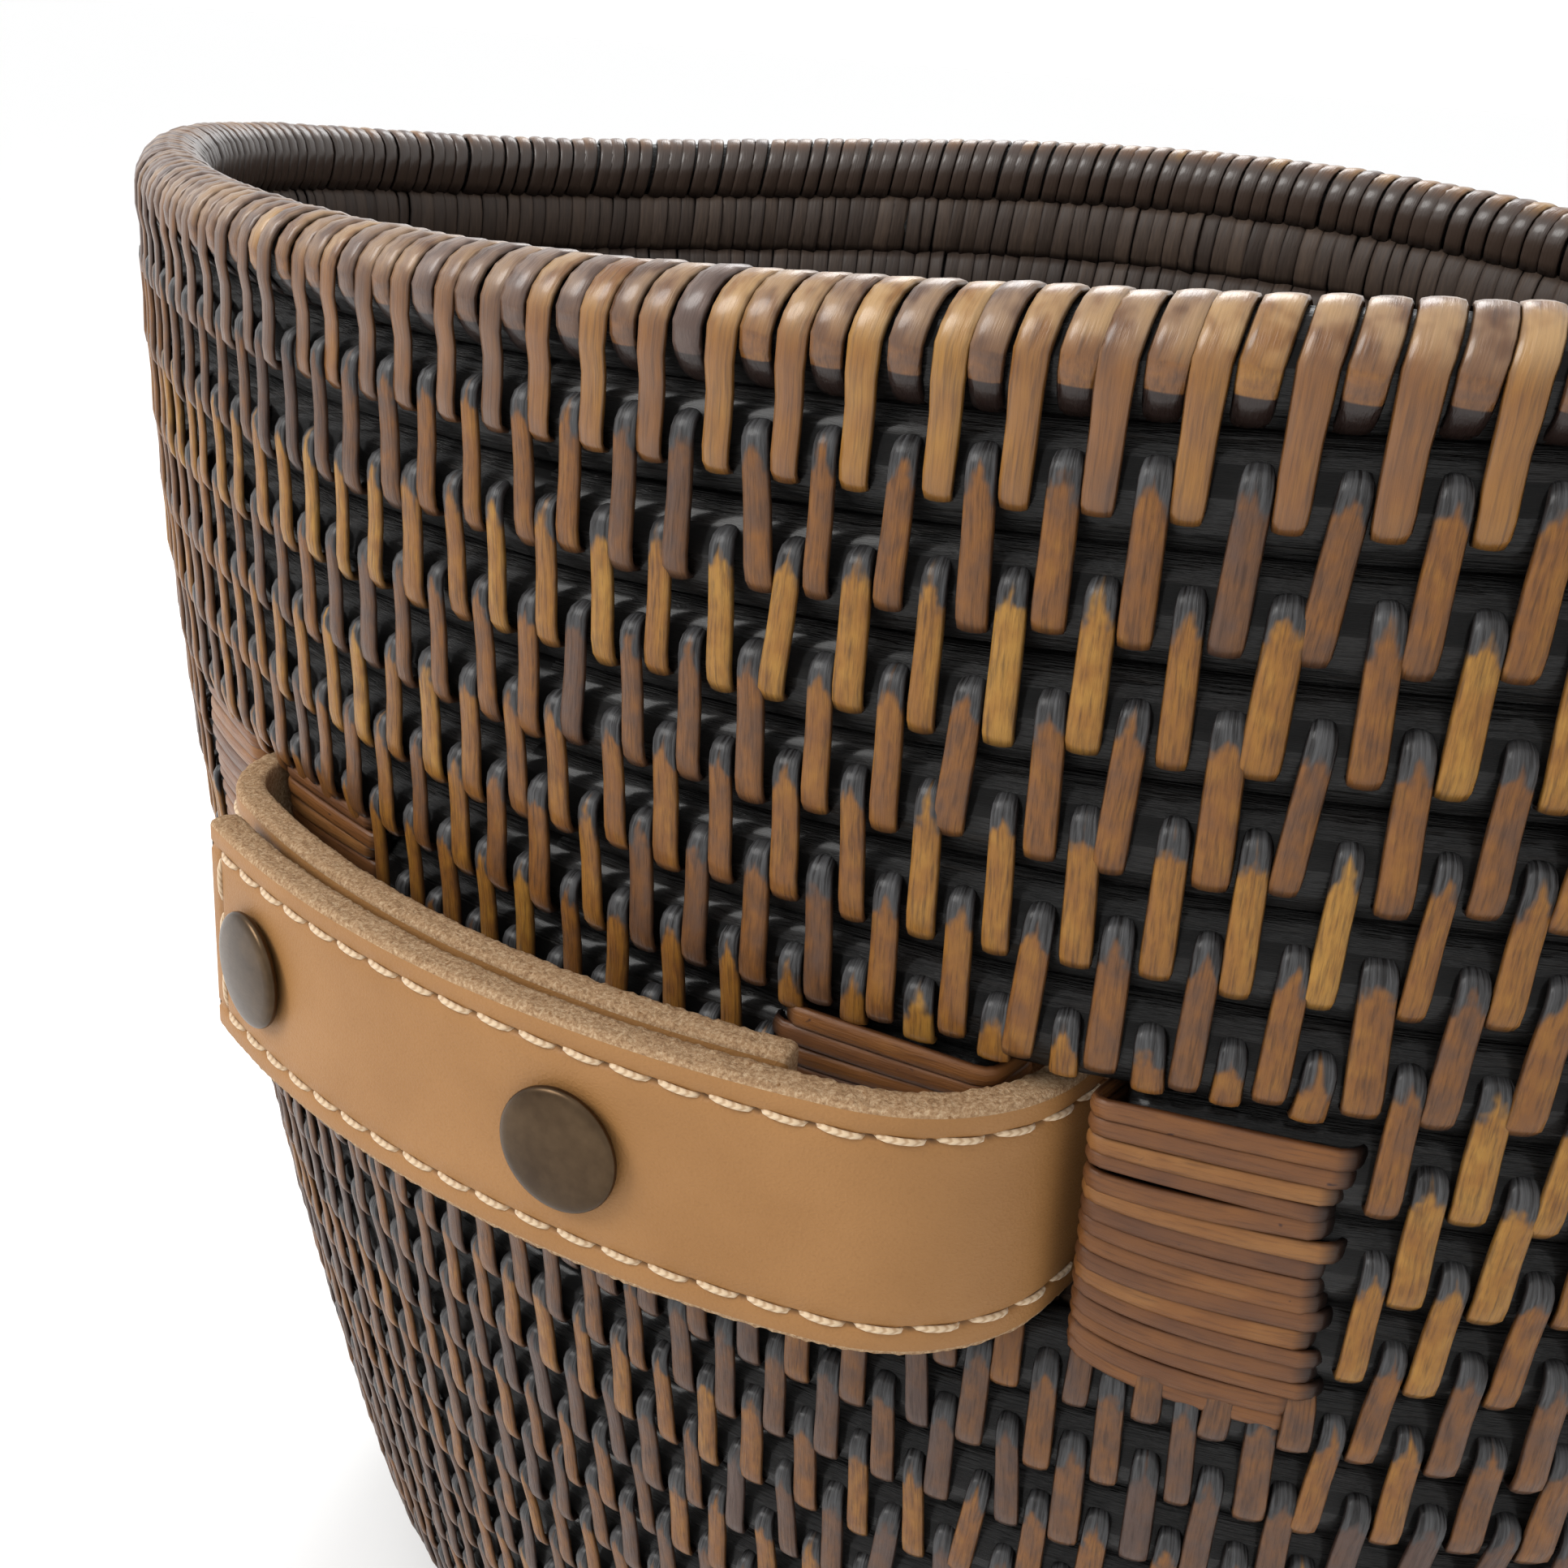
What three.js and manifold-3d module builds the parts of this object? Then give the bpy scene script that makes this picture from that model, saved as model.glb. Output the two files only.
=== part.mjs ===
// Oval coiled rattan log basket with two riveted leather strap handles.
// Millimetres, +Z up. The origin is at the middle of the underside, the long axis of the oval
// lies along X, and the two handles are on the flatter sides at -Y (front) and +Y (back).
import * as THREE from 'three';
import { mergeVertices } from 'three/addons/utils/BufferGeometryUtils.js';
import Module from 'manifold-3d';

const wasm = await Module();
wasm.setup();

// ---- Driving dimensions ----
const COIL = 12.4; // height of one coil of rattan
const COILS = 24; // coils in the wall, below the rim coil
const RIM_LONG = 183; // half of the wall's long axis at the rim
const RIM_SHORT = 124; // half of the wall's short axis at the rim
const CREST = 2; // a coil's outermost line, outside the nominal wall surface
const GROOVE = -0.5; // the groove between two coils
const LINING = -9.4; // the wall's inner face
const RIM_RADIUS = 6.4;
const RIM_HEIGHT = COIL * (COILS + 0.5) + 0.2; // height of the rim coil's centre above the floor
const ROUNDING_DROP = 266; // depth below the rim where the wall turns in towards the base
const ROUNDING_RADIUS = 53;
const STRETCH = RIM_LONG - RIM_SHORT;
const AROUND = 48; // facets around the oval

const GAP = 0.3; // clearance between pieces that touch

const STRAP_WIDTH = 34;
const STRAP_THICK = 4.5;
const STRAP_MIDDLE = 206.3; // height of the strap's middle line, a little above the slots' own
const LAYER_GAP = 2; // room for the snap sockets between the two layers outside
const HANDLE_ARC = 165.4; // radius of the outer layer's middle line, seen from above
const HANDLE_APEX = new THREE.Vector2(-6.1, -138.75); // where the outer layer stands out furthest
const FREE_END_X = -55.5; // end of the outer layer
const TUCKED_END_X = 43.6; // end of the inner layer
const STRAP_X = 69; // where the strap passes through the wall, either side of the middle
const RIGHT_BEND = 24.2;
const LEFT_BEND = 16;
const INSIDE_BEND = 9;
const INSIDE_RUN_Y = -89.8;

const SLOT_X = 69.5;
const SLOT_COILS = 3; // coils cut through by each slot
const SLOT_TOP = RIM_HEIGHT - 6.5 * COIL;
const SLOT_HEIGHT = SLOT_COILS * COIL;
const SLOT_MIDDLE = SLOT_TOP - SLOT_HEIGHT / 2;
const SLOT_WIDTH = 16; // between the cut coil ends, before lashing
const LASHING_THICK = 1.8;
const LASHING_LENGTH = 26.5;

const SNAPS = [{ name: 'end', x: -40.2 }, { name: 'middle', x: 20.5 }];
const CAP_RADIUS = 8.5;
const CAP_HEIGHT = 2.4;
const SNAP_FACETS = 16;

const SEAM_INSET = 4; // from the strap's edges
const SEAM_SIZE = 0.8;

const MATERIALS = {
  rattan: { color: 0x3a2c24, roughness: 0.55, metalness: 0 },
  rim: { color: 0x8a6a50, roughness: 0.45, metalness: 0 },
  lashing: { color: 0x9c6536, roughness: 0.5, metalness: 0 },
  leather: { color: 0xb98a5a, roughness: 0.6, metalness: 0 },
  thread: { color: 0xe8d5b0, roughness: 0.8, metalness: 0 },
  brass: { color: 0x6b5a45, roughness: 0.35, metalness: 1 },
};

const model = new THREE.Group();

function addMesh(group, name, geometry, look) {
  const mesh = new THREE.Mesh(geometry, new THREE.MeshStandardMaterial(MATERIALS[look]));
  mesh.name = name;
  group.add(mesh);
  return mesh;
}

// ---- Solids for joining and cutting ----
function toSolid(geometry) {
  const bare = geometry.clone();
  bare.deleteAttribute('normal');
  bare.deleteAttribute('uv');
  const merged = mergeVertices(bare, 1e-4);
  return new wasm.Manifold(new wasm.Mesh({
    numProp: 3,
    vertProperties: new Float32Array(merged.attributes.position.array),
    triVerts: new Uint32Array(merged.index.array),
  }));
}

function toGeometry(solid) {
  const { vertProperties, triVerts } = solid.getMesh();
  const geometry = new THREE.BufferGeometry();
  geometry.setAttribute('position', new THREE.BufferAttribute(vertProperties, 3));
  geometry.setIndex(new THREE.BufferAttribute(triVerts, 1));
  geometry.computeVertexNormals();
  return geometry;
}

function reshape(geometry, move) {
  const position = geometry.attributes.position;
  const point = new THREE.Vector3();
  for (let i = 0; i < position.count; i += 1) {
    point.fromBufferAttribute(position, i);
    move(point);
    position.setXYZ(i, point.x, point.y, point.z);
  }
  return geometry;
}

// ---- The basket's surface ----
// How far the wall has come in, at a depth below the rim coil's centre.
function wallInset(drop) {
  const u = drop / 100;
  const taper = 0.5 * u + 5.72 * u ** 2 - 0.307 * u ** 3;
  const past = Math.max(0, drop - ROUNDING_DROP);
  return taper + ROUNDING_RADIUS - Math.sqrt(ROUNDING_RADIUS ** 2 - past ** 2);
}

// The hand-made rim rises and dips by a few millimetres; the coils below follow it less and less.
function rimWave(angle, drop) {
  const wave = 2 * Math.cos(2 * angle) + 3.65 * Math.sin(2 * angle) - 3.82 * Math.cos(3 * angle);
  return wave * Math.max(0, 1 - drop / 213);
}

// A lathe's round profile becomes the oval: the same outline, parted by STRETCH along X.
// The angle is measured from the front handle (-Y) towards +X.
function ovalise(geometry) {
  return reshape(geometry, (point) => {
    const angle = Math.atan2(point.x, point.z);
    const radius = Math.hypot(point.x, point.z);
    const height = point.y + rimWave(angle, RIM_HEIGHT - point.y);
    point.set((radius + STRETCH) * Math.sin(angle), -radius * Math.cos(angle), height);
  });
}

function wallRadius(z, offset) {
  return RIM_SHORT - wallInset(RIM_HEIGHT - z) + offset;
}

function makeWall() {
  const top = RIM_HEIGHT - RIM_RADIUS - 0.4;
  const bottom = 0.4;
  const profile = [];
  for (let k = COILS; k >= 1; k -= 1) {
    const middle = RIM_HEIGHT - k * COIL;
    const foot = Math.max(bottom, middle - COIL / 2);
    profile.push(new THREE.Vector2(wallRadius(foot, GROOVE), foot));
    profile.push(new THREE.Vector2(wallRadius(middle, CREST), middle));
  }
  profile.push(new THREE.Vector2(wallRadius(top, GROOVE), top));
  const levels = 8;
  for (let i = 0; i <= levels; i += 1) {
    const z = bottom + (top - bottom) * (1 - i / levels) ** 1.8;
    profile.push(new THREE.Vector2(wallRadius(z, LINING), z));
  }
  profile.push(profile[0].clone());
  return toSolid(ovalise(new THREE.LatheGeometry(profile, AROUND)));
}

function makeRim() {
  const profile = [];
  const sides = 8;
  const middle = RIM_SHORT + (CREST + LINING) / 2;
  for (let i = 0; i <= sides; i += 1) {
    const turn = (i % sides) * 2 * Math.PI / sides;
    profile.push(new THREE.Vector2(
      middle + RIM_RADIUS * Math.cos(turn),
      RIM_HEIGHT + RIM_RADIUS * Math.sin(turn),
    ));
  }
  return ovalise(new THREE.LatheGeometry(profile, AROUND));
}

// An oval mat of concentric coils, flat underneath, that fits inside the lowest wall coil.
function makeBase() {
  const thick = 9;
  const valley = thick - 1.5;
  const foot = wallRadius(0, LINING) - 1;
  const edge = wallRadius(valley, LINING) - 1.6;
  const rows = Math.floor(edge / COIL);
  const profile = [new THREE.Vector2(0, 0), new THREE.Vector2(foot, 0)];
  for (let i = 0; i < rows; i += 1) {
    const outer = edge * (1 - i / rows);
    profile.push(new THREE.Vector2(outer, valley));
    profile.push(new THREE.Vector2(outer - edge / rows / 2, thick));
  }
  profile.push(new THREE.Vector2(0, valley));
  return ovalise(new THREE.LatheGeometry(profile, AROUND));
}

// ---- Slots and their lashings, in the front wall ----
// A block that follows the wall: x and z ranges, and offsets from the nominal wall surface.
function wallBlock(x0, x1, z0, z1, inner, outer) {
  const block = new THREE.BoxGeometry(1, 1, 1, 4, 1, 2);
  return toSolid(reshape(block, (point) => {
    const x = x0 + (x1 - x0) * (point.x + 0.5);
    const z = z0 + (z1 - z0) * (point.z + 0.5);
    const short = wallRadius(z, outer + (inner - outer) * (point.y + 0.5));
    point.set(x, -short * Math.sqrt(1 - (x / (short + STRETCH)) ** 2), z);
  }));
}

// The lashing wraps a cut coil end: outside, through the slot and inside. It is a block less
// the coil ends that it holds; grow is 0 for the lashing and GAP for its bed in the wall.
function lashingWrap(side, away, grow) {
  const face = side * SLOT_X + away * (SLOT_WIDTH / 2 - LASHING_THICK - GAP);
  const end = face + away * LASHING_LENGTH;
  const z0 = SLOT_TOP - SLOT_HEIGHT;
  const core = face + away * (LASHING_THICK + grow);
  const reach = grow > 0 ? 4 : 0;
  const ends = [face - away * grow, end + away * grow].sort((a, b) => a - b);
  const cores = [core, end + away * 5].sort((a, b) => a - b);
  const inner = LINING + LASHING_THICK + grow;
  const outer = CREST - LASHING_THICK - grow;
  const block = wallBlock(...ends, z0 - grow, SLOT_TOP + grow, LINING - reach, CREST + reach);
  return block.subtract(wallBlock(...cores, z0 - 5, SLOT_TOP + 5, inner, outer));
}

function eachLashing(visit) {
  for (const side of [-1, 1]) {
    for (const away of [-1, 1]) {
      const slot = side < 0 ? 'left' : 'right';
      visit(side, away, `${slot}_slot_${side === away ? 'outer' : 'inner'}_lashing`);
    }
  }
}

function cutSlots(wall) {
  let cut = wall;
  for (const half of [0, 180]) {
    const place = [0, 0, half];
    for (const side of [-1, 1]) {
      const slot = new THREE.BoxGeometry(SLOT_WIDTH, 60, SLOT_HEIGHT + 2 * GAP);
      slot.translate(side * SLOT_X, wallRadius(SLOT_MIDDLE, 0) * -0.9, SLOT_MIDDLE);
      cut = cut.subtract(toSolid(slot).rotate(place));
    }
    eachLashing((side, away) => {
      cut = cut.subtract(lashingWrap(side, away, GAP).rotate(place));
    });
  }
  return cut;
}

// ---- Strap handle, in the front wall ----
const arcCentre = new THREE.Vector2(HANDLE_APEX.x, HANDLE_APEX.y + HANDLE_ARC);
const innerArc = HANDLE_ARC - STRAP_THICK - LAYER_GAP;

// Angles on the long arcs are measured from -Y, positive towards +X.
function angleAt(x, radius) {
  return Math.asin((x - arcCentre.x) / radius);
}

// The strap's middle line as counter-clockwise arcs joined by straight runs: free end, outer
// layer, right slot, inside run, left slot, inner layer, tucked end.
function strapArcs() {
  const down = -Math.PI / 2;
  const right = angleAt(STRAP_X - RIGHT_BEND, HANDLE_ARC - RIGHT_BEND);
  const left = angleAt(LEFT_BEND - STRAP_X, innerArc - LEFT_BEND);
  const rightY = arcCentre.y - (HANDLE_ARC - RIGHT_BEND) * Math.cos(right);
  const leftY = arcCentre.y - (innerArc - LEFT_BEND) * Math.cos(left);
  const inside = STRAP_X - INSIDE_BEND;
  const insideY = INSIDE_RUN_Y - INSIDE_BEND;
  const free = angleAt(FREE_END_X, HANDLE_ARC);
  const tucked = angleAt(TUCKED_END_X, innerArc);
  return [
    { x: arcCentre.x, y: arcCentre.y, r: HANDLE_ARC, from: down + free, to: down + right },
    { x: STRAP_X - RIGHT_BEND, y: rightY, r: RIGHT_BEND, from: down + right, to: 0 },
    { x: inside, y: insideY, r: INSIDE_BEND, from: 0, to: Math.PI / 2 },
    { x: -inside, y: insideY, r: INSIDE_BEND, from: Math.PI / 2, to: Math.PI },
    { x: LEFT_BEND - STRAP_X, y: leftY, r: LEFT_BEND, from: -Math.PI, to: down + left },
    { x: arcCentre.x, y: arcCentre.y, r: innerArc, from: down + left, to: down + tucked },
  ];
}

// A flat band along some of those arcs, between two offsets from the middle line.
function band(arcs, inner, outer, z0, z1) {
  const shape = new THREE.Shape();
  for (const arc of arcs) {
    shape.absarc(arc.x, arc.y, arc.r + outer, arc.from, arc.to, false);
  }
  for (const arc of [...arcs].reverse()) {
    shape.absarc(arc.x, arc.y, arc.r + inner, arc.to, arc.from, true);
  }
  shape.closePath();
  const geometry = new THREE.ExtrudeGeometry(shape, {
    depth: z1 - z0,
    bevelEnabled: false,
    curveSegments: 5,
  });
  return toSolid(geometry.translate(0, 0, z0));
}

// A round hole along a snap's axis, between two distances from the long arcs' centre.
function snapHole(snap, radius, near, far) {
  const hole = new THREE.CylinderGeometry(radius, radius, far - near, SNAP_FACETS);
  hole.translate(0, -(near + far) / 2, 0);
  hole.rotateZ(angleAt(snap.x, HANDLE_ARC));
  hole.translate(arcCentre.x, arcCentre.y, STRAP_MIDDLE);
  return toSolid(hole);
}

const outerFace = HANDLE_ARC + STRAP_THICK / 2;
const outerBack = HANDLE_ARC - STRAP_THICK / 2;
const innerFace = innerArc + STRAP_THICK / 2;
const innerBack = innerArc - STRAP_THICK / 2;
const STUD_BED = 0.9; // depth of the recess that takes the stud's flange

function makeStrap() {
  const half = STRAP_WIDTH / 2;
  const thick = STRAP_THICK / 2;
  let strap = band(strapArcs(), -thick, thick, STRAP_MIDDLE - half, STRAP_MIDDLE + half);
  for (const snap of SNAPS) {
    strap = strap.subtract(snapHole(snap, 2.2, outerBack - 0.5, outerFace + 1));
    strap = strap.subtract(snapHole(snap, 1.9, innerBack - 1, innerFace - STUD_BED / 2));
    strap = strap.subtract(snapHole(snap, 5.1, innerFace - STUD_BED, innerFace + 0.8));
  }
  return strap;
}

// The thread lies on the outer layer: along both long edges and across the free end. It is a
// thin sheet on the leather, less a window that is open at the slot's end.
function makeSeam() {
  const [long, bend] = strapArcs();
  const low = STRAP_THICK / 2 + GAP;
  const high = low + SEAM_SIZE;
  const start = long.from + SEAM_INSET / HANDLE_ARC;
  const edge = STRAP_WIDTH / 2 - SEAM_INSET;
  const sheet = [{ ...long, from: start }, { ...bend, to: -0.7 }];
  const window = [{ ...long, from: start + SEAM_SIZE / HANDLE_ARC }, { ...bend, to: -0.6 }];
  return band(sheet, low, high, STRAP_MIDDLE - edge, STRAP_MIDDLE + edge).subtract(
    band(window, low - 1, high + 1, STRAP_MIDDLE - edge + SEAM_SIZE, STRAP_MIDDLE + edge - SEAM_SIZE),
  );
}

// ---- Snap fasteners: turned about an axis that stands square to the strap ----
// A profile lists [radius, distance from the long arcs' centre], from the outer end inwards.
function turned(profile) {
  const points = profile.map(([radius, distance]) => new THREE.Vector2(radius, -distance));
  return new THREE.LatheGeometry(points, SNAP_FACETS);
}

function makeCap() {
  const seat = outerFace + GAP;
  const profile = [[0, seat + CAP_HEIGHT]];
  const steps = 4;
  for (let i = 1; i <= steps; i += 1) {
    const turn = (i / steps) * Math.PI / 2;
    profile.push([CAP_RADIUS * Math.sin(turn), seat + 0.6 + (CAP_HEIGHT - 0.6) * Math.cos(turn)]);
  }
  profile.push([CAP_RADIUS - 0.3, seat], [1.6, seat], [1.6, outerBack - 0.2], [0, outerBack - 0.2]);
  return turned(profile);
}

function makeSocket() {
  const outer = outerBack - GAP;
  const inner = innerFace + 0.2;
  return turned([[3, outer], [4.6, outer], [5.2, outer - 0.5], [5.2, inner], [3, inner], [3, outer]]);
}

function makeStud() {
  const flange = innerFace - 0.2;
  const bottom = innerFace - STUD_BED + 0.1;
  const head = outerBack - 0.55;
  return turned([[0, head], [2.2, head], [2.6, head - 0.5], [2, flange], [4.8, flange],
    [4.8, bottom], [0, bottom]]);
}

function makePost() {
  const tip = innerFace - STUD_BED - 0.2;
  const seat = innerBack - GAP;
  return turned([[0, tip], [1.5, tip], [1.5, seat], [5, seat], [5, seat - 0.5],
    [4.4, seat - 0.8], [0, seat - 0.8]]);
}

// ---- Assembly ----
function addSnap(handle, name, snap) {
  const seat = new THREE.Group();
  seat.position.set(arcCentre.x, arcCentre.y, STRAP_MIDDLE);
  seat.rotation.z = angleAt(snap.x, HANDLE_ARC);
  addMesh(seat, `${name}_${snap.name}_snap_cap`, makeCap(), 'brass');
  addMesh(seat, `${name}_${snap.name}_snap_socket`, makeSocket(), 'brass');
  addMesh(seat, `${name}_${snap.name}_snap_stud`, makeStud(), 'brass');
  addMesh(seat, `${name}_${snap.name}_snap_post`, makePost(), 'brass');
  handle.add(seat);
}

function addHandle(name, turn) {
  const handle = new THREE.Group();
  handle.rotation.z = turn;
  addMesh(handle, `${name}_strap`, toGeometry(makeStrap()), 'leather');
  addMesh(handle, `${name}_strap_seam`, toGeometry(makeSeam()), 'thread');
  eachLashing((side, away, part) => {
    addMesh(handle, `${name}_${part}`, toGeometry(lashingWrap(side, away, 0)), 'lashing');
  });
  for (const snap of SNAPS) {
    addSnap(handle, name, snap);
  }
  model.add(handle);
}

addMesh(model, 'wall_coils', toGeometry(cutSlots(makeWall())), 'rattan');
addMesh(model, 'rim_coil', makeRim(), 'rim');
addMesh(model, 'base_mat', makeBase(), 'rattan');
addHandle('front', 0);
addHandle('back', Math.PI);

export default model;
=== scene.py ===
# The looks of an oval coiled rattan log basket with two leather strap handles, built around the
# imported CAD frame. Shapes are worked out in millimetres and stored in metres.
import math

import bpy
import numpy as np
from mathutils import Matrix, Vector


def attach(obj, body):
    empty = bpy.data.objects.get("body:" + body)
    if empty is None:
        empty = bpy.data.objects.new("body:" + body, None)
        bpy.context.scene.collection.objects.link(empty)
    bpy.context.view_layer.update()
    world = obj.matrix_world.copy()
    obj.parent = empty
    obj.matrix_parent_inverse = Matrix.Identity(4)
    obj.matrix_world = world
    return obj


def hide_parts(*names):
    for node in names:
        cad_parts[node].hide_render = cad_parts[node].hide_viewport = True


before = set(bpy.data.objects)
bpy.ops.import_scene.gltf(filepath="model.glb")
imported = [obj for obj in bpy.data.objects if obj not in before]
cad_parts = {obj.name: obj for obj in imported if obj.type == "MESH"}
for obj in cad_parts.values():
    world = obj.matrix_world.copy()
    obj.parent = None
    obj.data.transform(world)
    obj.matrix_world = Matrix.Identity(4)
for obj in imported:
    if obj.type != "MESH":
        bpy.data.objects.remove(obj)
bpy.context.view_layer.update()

MM = 0.001
SEED = 11

# ---- Dimensions shared with the CAD source ----
COIL = 12.4
COILS = 24
RIM_SHORT = 124.0
STRETCH = 59.0
LINING = -9.4
RIM_HEIGHT = COIL * (COILS + 0.5) + 0.2
ROUNDING_DROP = 266.0
ROUNDING_RADIUS = 53.0
STRAP_WIDTH = 34.0
STRAP_THICK = 4.5
LAYER_GAP = 2.0
STRAP_MIDDLE = 206.3
HANDLE_ARC = 165.4
HANDLE_APEX = (-6.1, -138.75)
FREE_END_X = -55.5
TUCKED_END_X = 43.6
STRAP_X = 69.0
RIGHT_BEND = 24.2
LEFT_BEND = 16.0
INSIDE_BEND = 9.0
INSIDE_RUN_Y = -89.8
SLOT_X = 69.5
SLOT_TOP = RIM_HEIGHT - 6.5 * COIL
SLOT_HALF = 5.9  # half of the free width between a slot's two lashings
LASHING_LENGTH = 26.5
SNAP_X = {"end": -40.2, "middle": 20.5}
CAP_RADIUS = 8.5
CAP_HEIGHT = 2.4
CAP_SEAT = 0.3  # clearance between the cap and the leather
CAP_EDGE = 0.75  # radius of the cap's rolled edge
CAP_CROWN = 0.75  # how far the cap's top falls from its middle to its edge
SEAM_INSET = 4.0

# ---- The weave ----
COLUMNS = 120  # stitches in one row
STITCH_PITCH = 8.15  # distance between two stitch columns at the middle of a long side
PITCH_SPREAD = 1.6  # how much wider it is at the +X end, and narrower at the -X end
COLUMN_DRIFT = -0.41  # columns that a row is set back against the row above
PEEL = 0.9  # thickness of the split peel
PEEL_GRAIN = 1.8  # half width, in mm, that the grain of a strip of peel is drawn at
CORE_MIDDLE = -3.7  # offset of a coil's centre line
CORE_DEPTH = 4.7
CORE_HALF_HEIGHT = 6.5
SLOT_ROWS = (7, 8, 9)
CORE_SHY = 1.6  # distance from the free slot to the cut ends of the cores
WAVE_END = 213  # depth below the rim at which its wave has died away
FOOT = 0.1  # the lowest that anything reaches
BLOCK_X = (36.8, 102.2)  # the lashings and the slot, on both sides of the middle

FRONT = Matrix.Identity(4)
BACK = Matrix.Rotation(math.pi, 4, "Z")


# ---- The basket's surface ----
def wall_inset(drop):
    u = drop / 100
    past = np.maximum(0, drop - ROUNDING_DROP)
    rounding = ROUNDING_RADIUS - np.sqrt(ROUNDING_RADIUS**2 - past**2)
    return 0.5 * u + 5.72 * u**2 - 0.307 * u**3 + rounding


def rim_wave(angle, drop):
    wave = 2 * np.cos(2 * angle) + 3.65 * np.sin(2 * angle) - 3.82 * np.cos(3 * angle)
    return wave * np.maximum(0, 1 - drop / WAVE_END)


def on_wall(angle, drop, offset):
    """Points on the wall: angle round the oval, depth below the rim, offset outwards."""
    angle, drop, offset = np.broadcast_arrays(angle, drop, offset)
    radius = RIM_SHORT - wall_inset(drop) + offset
    height = RIM_HEIGHT - drop + rim_wave(angle, drop)
    return np.stack([(radius + STRETCH) * np.sin(angle), -radius * np.cos(angle), height], -1)


def on_front(x, z, offset):
    """Points on the front wall, without the rim's wave, as the slots and lashings lie."""
    x, z, offset = np.broadcast_arrays(x, z, offset)
    short = RIM_SHORT - wall_inset(RIM_HEIGHT - z) + offset
    return np.stack([x, -short * np.sqrt(1 - (x / (short + STRETCH)) ** 2), z], -1)


def spacing_table():
    """Angles at equal steps of stitch columns; the columns lie a little wider towards +X."""
    angle = np.linspace(-math.pi, math.pi, 4001)
    middle = (angle[1:] + angle[:-1]) / 2
    rim_long = RIM_SHORT + STRETCH
    step = np.hypot(rim_long * np.cos(middle), RIM_SHORT * np.sin(middle)) * np.diff(angle)
    pitch = STITCH_PITCH + PITCH_SPREAD * np.sin(middle)
    columns = np.concatenate([[0], np.cumsum(step / pitch)])
    return columns / columns[-1], angle


SHARE, ANGLE = spacing_table()


def angle_of(column):
    """The angle of a stitch column, which may be a fraction; column 0 is at the back."""
    share = np.asarray(column, float) / COLUMNS
    turns = np.floor(share)
    return np.interp(share - turns, SHARE, ANGLE) + turns * 2 * math.pi


def angle_per_mm(angle, drop):
    short = RIM_SHORT - wall_inset(drop)
    return 1 / np.hypot((short + STRETCH) * np.cos(angle), short * np.sin(angle))


# ---- Meshes ----
def cap_quads(sides):
    return [(i, i + 1, sides - 2 - i, sides - 1 - i) for i in range(sides // 2 - 1)]


def loft_quads(count, rings, sides, looped):
    """Faces of count tubes, each of rings x sides points, closed by caps or joined end to end."""
    ring = np.arange(rings if looped else rings - 1)
    side = np.arange(sides)
    i, j = np.meshgrid(ring, side, indexing="ij")
    here, after = i * sides, (i + 1) % rings * sides
    beside = (j + 1) % sides
    quads = np.stack([here + j, after + j, after + beside, here + beside], -1).reshape(-1, 4)
    if not looped:
        caps = np.array(cap_quads(sides))
        quads = np.concatenate([quads, caps, caps[:, ::-1] + (rings - 1) * sides])
    starts = np.arange(count)[:, None, None] * rings * sides
    return (quads[None] + starts).reshape(-1, 4)


class Pile:
    """Collects lofted shapes with their surface values, and makes one mesh object of them."""

    def __init__(self):
        self.points, self.quads, self.weave, self.grain, self.looks = [], [], [], [], []
        self.total = 0

    def add(self, points, weave, grain, looped=False, looks=None):
        """points is count x rings x sides x 3; weave and grain broadcast to the same shape."""
        count, rings, sides, _ = points.shape
        quads = loft_quads(count, rings, sides, looped)
        self.points.append(points.reshape(-1, 3))
        self.weave.append(np.broadcast_to(weave, points.shape).reshape(-1, 3))
        self.grain.append(np.broadcast_to(grain, points.shape).reshape(-1, 3))
        self.quads.append(quads + self.total)
        self.looks.append(np.zeros(len(quads), int) if looks is None else looks)
        self.total += count * rings * sides

    def build(self, name, body, materials, slot, replaces=(), place=FRONT):
        points, quads = np.concatenate(self.points), np.concatenate(self.quads)
        points[:, 2] = np.maximum(points[:, 2], FOOT)
        mesh = bpy.data.meshes.new(name)
        mesh.vertices.add(len(points))
        mesh.vertices.foreach_set("co", (points * MM).astype(np.float32).ravel())
        mesh.loops.add(quads.size)
        mesh.loops.foreach_set("vertex_index", quads.astype(np.int32).ravel())
        mesh.polygons.add(len(quads))
        mesh.polygons.foreach_set("loop_start", np.arange(0, quads.size, 4, dtype=np.int32))
        looks = np.concatenate(self.looks).astype(np.int32)
        mesh.polygons.foreach_set("material_index", looks)
        mesh.update(calc_edges=True)
        mesh.shade_smooth()
        for label, parts in (("weave", self.weave), ("grain", self.grain)):
            layer = mesh.attributes.new(label, "FLOAT_VECTOR", "POINT")
            layer.data.foreach_set("vector", np.concatenate(parts).astype(np.float32).ravel())
        mesh.transform(place)
        for look in materials:
            mesh.materials.append(look)
        made = bpy.data.objects.new(name, mesh)
        bpy.context.scene.collection.objects.link(made)
        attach(made, body)
        if replaces:
            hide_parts(*replaces)


def unit(vectors):
    return vectors / np.maximum(np.linalg.norm(vectors, axis=-1, keepdims=True), 1e-9)


PEEL_SECTION = np.array([
    (-1, 0.15), (-0.88, 0.72), (-0.5, 0.94), (0, 1.0),
    (0.5, 0.94), (0.88, 0.72), (1, 0.15), (0, -0.4),
])
CORE_TURN = np.radians(np.arange(0, -360, -30))  # directions of the points of a core's section
ROUND_SECTION = np.array([(math.cos(t), math.sin(t)) for t in np.radians(range(180, -180, -60))])


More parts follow.
